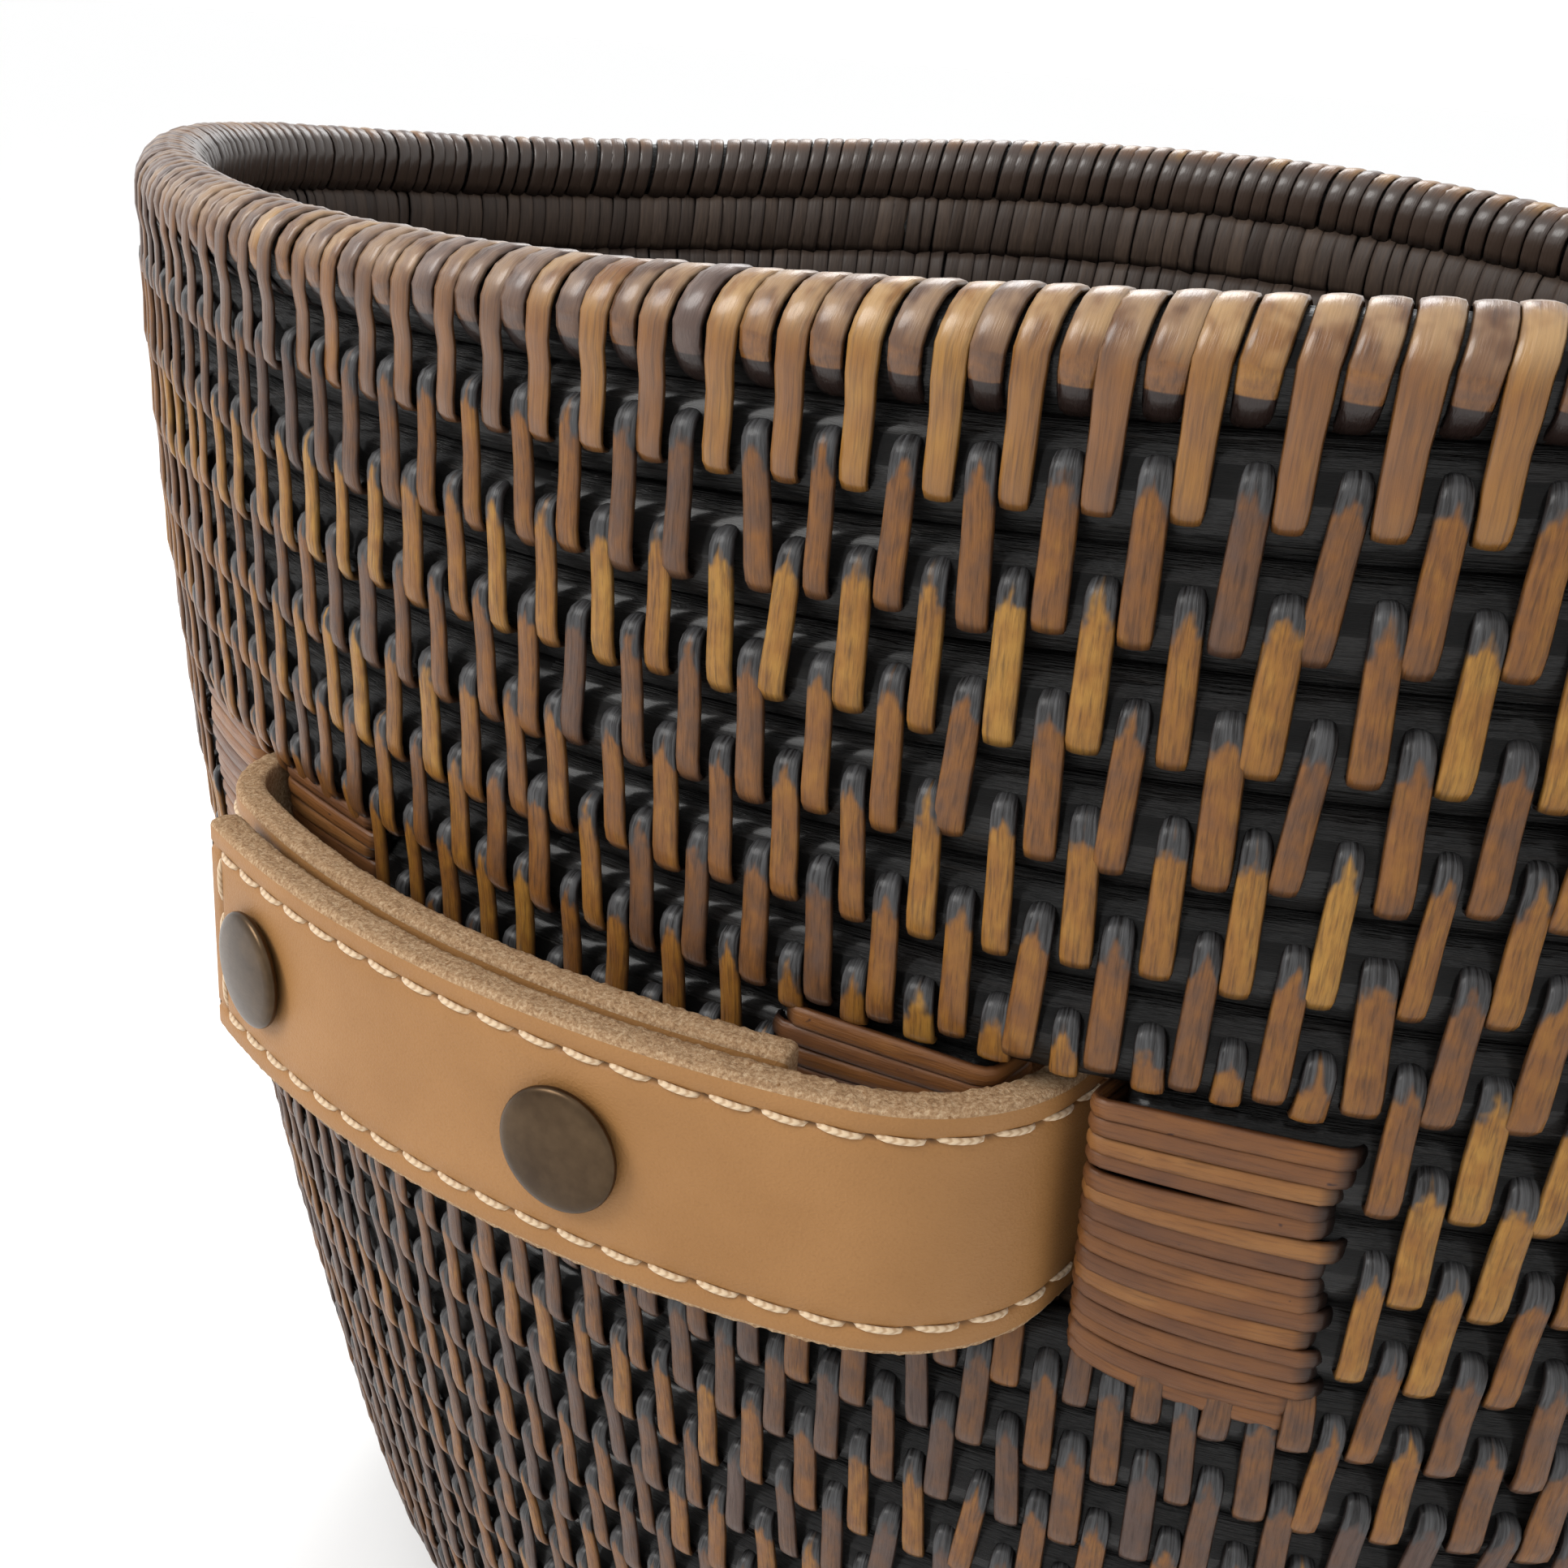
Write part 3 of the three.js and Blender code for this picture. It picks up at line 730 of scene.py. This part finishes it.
def build_rim():
    rng = np.random.default_rng(SEED + 3)
    core = Pile()
    angles = np.linspace(0, 2 * math.pi, 320, endpoint=False)
    # The lower half is taller, so that it meets the first row's core.
    tall = np.where(np.sin(CORE_TURN) < 0, 1.3, 1.0)
    drop = -(RIM_SEAT - 0.4) * np.sin(CORE_TURN) * tall
    rings = on_wall(angles[:, None], drop, CORE_MIDDLE + (RIM_SEAT - 0.4) * np.cos(CORE_TURN))
    core.add(rings[None], 0.0, core_values(angles, 0.0, 0)[None], looped=True)
    core.build("rim_core", "basket", [CORE], "rattan", ["rim_coil"])
    pile = Pile()
    for kind, path in enumerate(rim_paths()):
        columns = np.arange(COLUMNS) + 0.5 * kind + 0.18
        drift = smooth_noise(rng, COLUMNS, (1, 3, 7, 12)) * 0.12
        tones = 0.5 - 0.1 * kind + drift + rng.normal(0, 0.13, COLUMNS)
        tones = tones + 0.22 * np.sin(angle_of(columns))
        middle = angle_of(columns)[:, None]
        per_mm = angle_per_mm(middle, 0.0)
        around = path[:, 2]
        lean = np.where(around < 0, -around * 1.7, 0.0) + rng.normal(0, 0.3, (COLUMNS, 1))
        angle = middle + lean * per_mm
        offset = path[:, 1] + rng.normal(0, 0.12, (COLUMNS, 1))
        line = on_wall(angle, path[:, 0], offset)
        beside = on_wall(angle + per_mm, path[:, 0], offset) - line
        pitch = (angle_of(columns + 0.25) - angle_of(columns - 0.25))[:, None] / per_mm
        down = path[:, 0] * (around > -0.1)
        taper = np.interp(down, [0, 6, 12, 14.5, 15], [1.0, 0.9, 0.9, 0.84, 0.72])
        share = rng.normal(0.92, 0.03, (COLUMNS, 1))
        thick = 0.8 * rng.normal(1.0, 0.1, (COLUMNS, 1))
        points = ribbons(line, beside, pitch * share * taper, thick)
        across = PEEL_SECTION[:, 0]
        seeds = rng.uniform(0, 400, (COLUMNS, 1, 1))
        weave = values(around[None, :, None], across, tones[:, None, None])
        grain = values(across * 2 + seeds, around[None, :, None] * 8, seeds)
        pile.add(points, weave, grain)
    pile.build("rim_wraps", "basket", [RIM], "rim", ["rim_coil"])


# ---- Base mat ----
def on_mat(angle, radius, height):
    angle, radius, height = np.broadcast_arrays(angle, radius, height)
    return np.stack([(radius + STRETCH) * np.sin(angle), -radius * np.cos(angle), height], -1)


def build_base():
    rng = np.random.default_rng(SEED + 4)
    core, ribs = Pile(), Pile()
    edge = RIM_SHORT - float(wall_inset(RIM_HEIGHT - 7.5)) + LINING - 1.6
    half, tall, level = 6.0, 3.6, 4.6
    turn = np.radians(np.arange(0, 360, 30))
    angles = np.linspace(0, 2 * math.pi, 240, endpoint=False)
    arc = np.radians([175, 140, 108, 72, 40, 5])
    for index, radius in enumerate(np.linspace(edge - half - 0.3, half + 0.3, 5)):
        rings = on_mat(angles[:, None], radius + half * np.cos(turn), level + tall * np.sin(turn))
        mm = angles * (radius + 40)
        grain = values(mm[:, None], np.arange(12) * 2.6 + index * 50.0, index)
        core.add(rings[None], 0.0, grain[None], looped=True)
        semi = np.array([radius + STRETCH, radius])
        count = int(2 * math.pi * math.sqrt((semi**2).mean()) / 4.3)
        table = np.linspace(0, 2 * math.pi, 2001)
        lengths = np.cumsum(np.hypot(semi[0] * np.cos(table), semi[1] * np.sin(table)))
        middle = np.interp(np.arange(count) / count * lengths[-1], lengths, table)[:, None]
        middle = middle + rng.normal(0, 0.002, (count, 1))
        for face in (1, -1):
            reach = radius + (half - 0.2) * np.cos(arc) * face
            height = level + face * tall * np.sin(arc)
            line = on_mat(middle, reach, height)
            beside = on_mat(middle + 0.01, reach, height) - line
            points = ribbons(line, -beside, 3.9, 0.85)
            tones = 0.5 + rng.normal(0, 0.16, (count, 1, 1))
            seeds = rng.uniform(0, 400, (count, 1, 1))
            across = PEEL_SECTION[:, 0]
            weave = values((arc / math.pi)[None, :, None], across, tones)
            grain = values(across * PEEL_GRAIN + seeds, reach[None, :, None], seeds)
            ribs.add(points, weave, grain)
    core.build("base_core", "basket", [CORE], "rattan", ["base_mat"])
    ribs.build("base_ribs", "basket", [INNER], "rattan", ["base_mat"])


# ---- Slot lashings ----
STRANDS = 16
STRAND_SEAT = 1.1  # offset of the strands' seat outside
# Lowest and highest that the strands reach, at the slot and at the lashing's far end.
NEAR_FOOT, NEAR_HEAD = 188.2, SLOT_TOP + 0.9
FAR_FOOT, FAR_HEAD = 182.6, SLOT_TOP + 1.6


def lashing_line():
    """A strand's way from the far end outside, round the slot's edge, to the far end inside:
    (distance from the slot's face, offset, share of the way from far end to slot)."""
    outer, inner = STRAND_SEAT, LINING + 1.0
    end = LASHING_LENGTH + 0.6
    away = [end, end - 0.4, end - 1.4, 22.5, 19, 15.5, 12, 9, 6.3, 4.2, 2.6]
    outside = [(d, outer - (0, 0.5, 1.8)[(d > end - 1) + (d == end)], 1 - d / end) for d in away]
    bend = [(1.5, outer - 0.3), (0.95, outer - 1.0), (0.8, outer - 2.2), (0.8, -3.7),
            (0.8, inner + 2.2), (0.95, inner + 1.0), (1.5, inner + 0.3)]
    through = [(d, o, 1.0) for d, o in bend]
    inside = [(d, inner + 1.8 * (d == end), 1 - d / end) for d in away[::-1]]
    return np.array(outside + through + inside)


def build_lashings(handle, place):
    line = lashing_line()
    for side in (-1, 1):
        for away in (-1, 1):
            label = "left" if side < 0 else "right"
            kind = "outer" if side == away else "inner"
            name = f"{handle}_{label}_slot_{kind}_lashing"
            place_seed = 3 * side + away + (10 if handle == "back" else 0)
            rng = np.random.default_rng(SEED + 20 + place_seed)
            level = (np.arange(STRANDS) + 0.5)[:, None] / STRANDS
            near_z = NEAR_FOOT + level * (NEAR_HEAD - NEAR_FOOT)
            far_z = FAR_FOOT + level * (FAR_HEAD - FAR_FOOT)
            fan = 1 - np.exp(-line[:, 0] / 6.0)
            z = near_z + (far_z - near_z) * fan
            sway = rng.normal(0, 0.22, (STRANDS, 1))
            wobble = sway * np.sin(line[:, 0] / 9 + rng.uniform(0, 6, (STRANDS, 1)))
            height = (NEAR_HEAD - NEAR_FOOT) * (1 - fan) + (FAR_HEAD - FAR_FOOT) * fan
            width = height / STRANDS * rng.normal(1.04, 0.08, (STRANDS, 1))
            ragged = rng.normal(0, 0.8, (STRANDS, 1)) * (line[:, 0] / LASHING_LENGTH) ** 3
            distance = line[:, 0] + ragged
            x = side * SLOT_X + away * (SLOT_HALF - 0.8 + distance)
            offset = line[:, 1] + rng.normal(0, 0.08, (STRANDS, 1))
            path = on_front(x, z + wobble, offset)
            upright = np.array([0, 0, 1.0]) * (-away)
            points = ribbons(path, np.broadcast_to(upright, path.shape), width, 0.9)
            tones = 0.52 + rng.normal(0, 0.16, (STRANDS, 1, 1))
            across = PEEL_SECTION[:, 0]
            seeds = rng.uniform(0, 300, (STRANDS, 1, 1))
            weave = values(line[:, 2][None, :, None], across, tones)
            grain = values(line[:, 0][None, :, None] + seeds, across * 1.3 + seeds, 0.0)
            pile = Pile()
            pile.add(points, weave, grain)
            pile.build(name + "_strands", "basket", [LASHING], "lashing", [name], place)


# ---- Leather strap ----
def strap_arcs():
    """The strap's middle line as counter-clockwise arcs (x, y, radius, from, to)."""
    cx, cy = HANDLE_APEX[0], HANDLE_APEX[1] + HANDLE_ARC
    inner = HANDLE_ARC - STRAP_THICK - LAYER_GAP
    down = -math.pi / 2
    right = math.asin((STRAP_X - RIGHT_BEND - cx) / (HANDLE_ARC - RIGHT_BEND))
    left = math.asin((LEFT_BEND - STRAP_X - cx) / (inner - LEFT_BEND))
    right_y = cy - (HANDLE_ARC - RIGHT_BEND) * math.cos(right)
    left_y = cy - (inner - LEFT_BEND) * math.cos(left)
    inside, inside_y = STRAP_X - INSIDE_BEND, INSIDE_RUN_Y - INSIDE_BEND
    free = math.asin((FREE_END_X - cx) / HANDLE_ARC)
    tucked = math.asin((TUCKED_END_X - cx) / inner)
    return [
        (cx, cy, HANDLE_ARC, down + free, down + right),
        (STRAP_X - RIGHT_BEND, right_y, RIGHT_BEND, down + right, 0.0),
        (inside, inside_y, INSIDE_BEND, 0.0, math.pi / 2),
        (-inside, inside_y, INSIDE_BEND, math.pi / 2, math.pi),
        (LEFT_BEND - STRAP_X, left_y, LEFT_BEND, -math.pi, down + left),
        (cx, cy, inner, down + left, down + tucked),
    ]


def strap_track():
    """Points of the middle line about 1 mm apart, with the outward directions."""
    points, normals = [], []
    for x, y, radius, start, end in strap_arcs():
        count = max(10, int(radius * (end - start)) + 1)
        turn = np.linspace(start, end, count)
        way = np.stack([np.cos(turn), np.sin(turn)], -1)
        arc = np.array([x, y]) + radius * way
        if points:
            gap = arc[0] - points[-1][-1]
            steps = int(np.linalg.norm(gap))
            if steps > 1:
                share = (np.arange(1, steps) / steps)[:, None]
                points.append(points[-1][-1] + share * gap)
                normals.append(np.repeat(way[:1], steps - 1, 0))
            arc, way = arc[1:], way[1:]
        points.append(arc)
        normals.append(way)
    points, normals = np.concatenate(points), np.concatenate(normals)
    steps = np.linalg.norm(np.diff(points, axis=0), axis=1)
    return np.concatenate([[0], np.cumsum(steps)]), points, normals


TRACK_MM, TRACK, TRACK_OUT = strap_track()
STRAP_LENGTH = TRACK_MM[-1]
SEAM_Z = STRAP_WIDTH / 2 - SEAM_INSET
SEAM_PITCH = 6.5


def on_strap(mm, z, depth):
    """Points on the strap: distance from the free end, height from its middle, depth outwards."""
    mm, z, depth = np.broadcast_arrays(mm, z, depth)
    x, y = [np.interp(mm, TRACK_MM, TRACK[:, i]) for i in (0, 1)]
    out = unit(np.stack([np.interp(mm, TRACK_MM, TRACK_OUT[:, i]) for i in (0, 1)], -1))
    return np.stack([x + out[..., 0] * depth, y + out[..., 1] * depth, STRAP_MIDDLE + z], -1)


def strap_section():
    """Half of the strap's section as (height, depth, kind), from back to front. Kind is 0 on the
    back, 1 on the cut edge and 2 on the grain side."""
    face = STRAP_THICK / 2
    half = STRAP_WIDTH / 2
    return [
        (half - 9, -face, 0), (half - 3, -face, 0), (half - 0.5, -face, 0),
        (half - 0.1, -face + 0.3, 1), (half, -face + 1.1, 1), (half, -0.4, 1), (half, 0.6, 1),
        (half - 0.05, face - 0.8, 1),
        (half - 0.3, face - 0.25, 1), (half - 0.9, face, 2), (half - 2, face, 2),
        (SEAM_Z + 0.8, face, 2), (SEAM_Z + 0.45, face - 0.22, 2), (SEAM_Z, face - 0.4, 2),
        (SEAM_Z - 0.45, face - 0.22, 2), (SEAM_Z - 0.8, face, 2), (SEAM_Z - 3, face, 2),
        (5, face, 2),
    ]


def build_strap(handle, place):
    rng = np.random.default_rng(SEED + 40)
    upper = strap_section()
    lower = [(-z, depth, kind) for z, depth, kind in upper[::-1]]
    section = upper + lower
    z = np.array([s[0] for s in section])
    depth = np.array([s[1] for s in section])
    kinds = np.array([s[2] for s in section])
    tip = np.array([0, 0.25, 0.7, 1.3])
    run = np.arange(2, STRAP_LENGTH - 1.5, 0.7)
    mm = np.concatenate([tip, run, STRAP_LENGTH - tip[::-1]])
    rings = len(mm)
    ends = np.minimum(mm, STRAP_LENGTH - mm)
    round_off = np.interp(ends, tip, [0.5, 0.22, 0.06, 0])[:, None]
    seam = np.abs(np.abs(z) - SEAM_Z) < 0.1
    phase = (mm - SEAM_INSET) / SEAM_PITCH
    pits = np.exp(-(((phase - np.round(phase)) * SEAM_PITCH) / 0.7) ** 2)[:, None] * seam
    between_seams = (np.abs(z) < SEAM_Z) & (kinds == 2)
    across_end = np.exp(-(((mm - SEAM_INSET) / 0.45) ** 2))[:, None] * between_seams
    raw = (kinds == 1) * rng.normal(0, 0.09, (rings, len(z)))
    heights = z + np.sign(z) * (raw - round_off * (np.abs(z) > 16))
    depths = depth - np.sign(depth) * round_off * 0.8 - 0.55 * pits - 0.38 * across_end
    points = on_strap(mm[:, None], heights, depths)[None]
    # A side of the section is leather face where both of its ends are, and cut leather elsewhere.
    look_of_side = np.where(np.minimum(kinds, np.roll(kinds, -1)) == 2, 0, 1)
    looks = np.tile(look_of_side, rings - 1)
    looks = np.concatenate([looks, np.ones(2 * len(cap_quads(len(z))), int)])
    # Where the grain side is painted with shade: fully in the seam's holes, a little in the groove
    # across the end.
    holes = np.maximum(pits, across_end * 0.35)
    weave = values(0.0, (z / (STRAP_WIDTH / 2))[None, None], holes[None])
    grain = values(mm[None, :, None], z, depth)
    pile = Pile()
    pile.add(points, weave, grain, looks=looks)
    node = f"{handle}_strap"
    looks = [LEATHER, CUT]
    pile.build(f"{node}_leather", f"{handle}_handle", looks, "leather", [node], place)


def build_seam(handle, place):
    """Saddle stitches along both edges of the grain side, and across the free end."""
    rng = np.random.default_rng(SEED + 41)
    pile = Pile()
    face = STRAP_THICK / 2
    share = np.array([0.08, 0.15, 0.29, 0.5, 0.71, 0.85, 0.92])
    rise = np.array([-0.75, -0.15, 0.12, 0.2, 0.12, -0.15, -0.75])
    starts = np.arange(SEAM_INSET, STRAP_LENGTH - SEAM_INSET - SEAM_PITCH, SEAM_PITCH)
    thickness = np.array([0.26, 0.36, 0.43, 0.45, 0.43, 0.36, 0.26])
    ends = np.abs(share - 0.5) * 2
    for edge in (1, -1):
        count = len(starts)
        mm = starts[:, None] + share * SEAM_PITCH
        slope = (0.5 - share) * 0.5 + rng.normal(0, 0.04, (count, 1))
        z = edge * SEAM_Z + slope
        line = on_strap(mm, z, face - 0.18 + rise)
        upright = np.broadcast_to(np.array([0, 0, 1.0]), line.shape)
        points = ribbons(line, -upright, thickness * 2.1, thickness, ROUND_SECTION)
        grain = values(mm[:, :, None], ROUND_SECTION[:, 0] * 0.5, ROUND_SECTION[:, 1] * 0.5)
        pile.add(points, values(ends[None, :, None], np.zeros(6), np.zeros((count, 1, 1))), grain)
    across = np.linspace(-SEAM_Z, SEAM_Z, 4)
    low, high = across[:-1, None], across[1:, None]
    z = low + (high - low) * share
    line = on_strap(SEAM_INSET, z, face - 0.2 + rise)
    forward = on_strap(SEAM_INSET + 1, z, face) - on_strap(SEAM_INSET, z, face)
    points = ribbons(line, forward, thickness * 2.1, thickness, ROUND_SECTION)
    grain = values(z[:, :, None], ROUND_SECTION[:, 0] * 0.5, ROUND_SECTION[:, 1] * 0.5)
    pile.add(points, values(ends[None, :, None], np.zeros(6), np.zeros((3, 1, 1))), grain)
    node = f"{handle}_strap_seam"
    pile.build(f"{node}_thread", f"{handle}_handle", [THREAD], "thread", [node], place)


def build_cap(handle, snap, place):
    """A low domed cap with a rolled edge, turned about the snap's axis."""
    seat = HANDLE_ARC + STRAP_THICK / 2 + CAP_SEAT
    profile = [(0.4, CAP_HEIGHT)]
    for share in (0.2, 0.4, 0.55, 0.7, 0.8, 0.88):
        profile.append((CAP_RADIUS * share, CAP_HEIGHT - CAP_CROWN * share**2.4))
    for turn in np.radians([78, 55, 30, 5, -25, -55]):
        profile.append((
            CAP_RADIUS - CAP_EDGE + CAP_EDGE * math.cos(turn), 0.95 + CAP_EDGE * math.sin(turn),
        ))
    profile += [(CAP_RADIUS - 1.0, 0.12), (CAP_RADIUS - 2.2, 0.05), (0.4, 0.05)]
    cx, cy = HANDLE_APEX[0], HANDLE_APEX[1] + HANDLE_ARC
    lean = math.asin((SNAP_X[snap] - cx) / HANDLE_ARC)
    out = np.array([math.sin(lean), -math.cos(lean), 0])
    side = np.array([math.cos(lean), math.sin(lean), 0])
    up = np.array([0, 0, 1.0])
    origin = np.array([cx, cy, STRAP_MIDDLE])
    turn = np.linspace(0, 2 * math.pi, 56, endpoint=False)
    radius = np.array([p[0] for p in profile])[:, None, None]
    height = np.array([p[1] for p in profile])[:, None, None]
    spin = side * np.cos(turn)[:, None] + up * np.sin(turn)[:, None]
    points = (origin + out * (seat + height) + spin * radius)[None]
    pile = Pile()
    pile.add(points, 0.0, 0.0)
    node = f"{handle}_{snap}_snap_cap"
    pile.build(f"{node}_dome", f"{handle}_handle", [BRASS], "brass", [node], place)


# ---- Assembly ----
build_cores()
build_stitches()
build_inner_ribs()
build_rim()
build_base()
for handle, place in (("front", FRONT), ("back", BACK)):
    build_lashings(handle, place)
    build_strap(handle, place)
    build_seam(handle, place)
    for snap in SNAP_X:
        build_cap(handle, snap, place)
        for part in ("socket", "stud", "post"):
            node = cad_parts[f"{handle}_{snap}_snap_{part}"]
            node.data.materials.clear()
            node.data.materials.append(BRASS)


# ---- Stage ----
def plain_material(name, colour):
    look = Look(name, Roughness=0.9)
    look.shader.inputs["Base Color"].default_value = colour
    return look.material


def add_area(name, location, target, size, watts, colour=(1, 1, 1)):
    light = bpy.data.lights.new(name, "AREA")
    light.shape = "DISK"
    light.size = size
    light.energy = watts
    light.color = colour
    lamp = bpy.data.objects.new(name, light)
    lamp.location = location
    lamp.rotation_mode = "QUATERNION"
    lamp.rotation_quaternion = (Vector(target) - Vector(location)).to_track_quat("-Z", "Y")
    bpy.context.scene.collection.objects.link(lamp)


FLOOR_HALF = 60.0
floor_mesh = bpy.data.meshes.new("floor")
corners = [(x * FLOOR_HALF, y * FLOOR_HALF, 0) for x, y in ((-1, -1), (1, -1), (1, 1), (-1, 1))]
floor_mesh.from_pydata(corners, [], [(0, 1, 2, 3)])
floor = bpy.data.objects.new("floor", floor_mesh)
floor_mesh.materials.append(plain_material("pale_floor", (0.9, 0.9, 0.9, 1)))
bpy.context.scene.collection.objects.link(floor)

world = bpy.data.worlds.new("studio")
world.use_nodes = True
world.node_tree.nodes["Background"].inputs["Color"].default_value = (1.0, 1.0, 1.0, 1)
world.node_tree.nodes["Background"].inputs["Strength"].default_value = 1.1
bpy.context.scene.world = world
bpy.context.scene.view_settings.view_transform = "Standard"

add_area("key", (-0.8, -1.12, 1.2), (-0.02, -0.13, 0.21), 0.8, 18, (1.0, 0.99, 0.97))
add_area("back_light", (-0.6, 0.9, 1.1), (0, 0, 0.28), 0.6, 5)

# ---- Camera ----
CAMERA_PLACE = (0.1502, -0.2754, 0.3319)
CAMERA_FORWARD = (-0.54872, 0.74597, -0.37741)
CAMERA_RIGHT = (0.7848, 0.6154, 0.0731)
camera = bpy.data.cameras.new("camera")
camera.sensor_width = 36.0
camera.lens = 41.594
camera.clip_start = 0.01
camera.clip_end = 60.0
camera_object = bpy.data.objects.new("camera", camera)
forward = Vector(CAMERA_FORWARD).normalized()
right = Vector(CAMERA_RIGHT)
right = (right - right.dot(forward) * forward).normalized()
up = right.cross(forward)
turned = Matrix((right, up, -forward)).transposed().to_4x4()
camera_object.matrix_world = Matrix.Translation(CAMERA_PLACE) @ turned
bpy.context.scene.collection.objects.link(camera_object)
bpy.context.scene.camera = camera_object
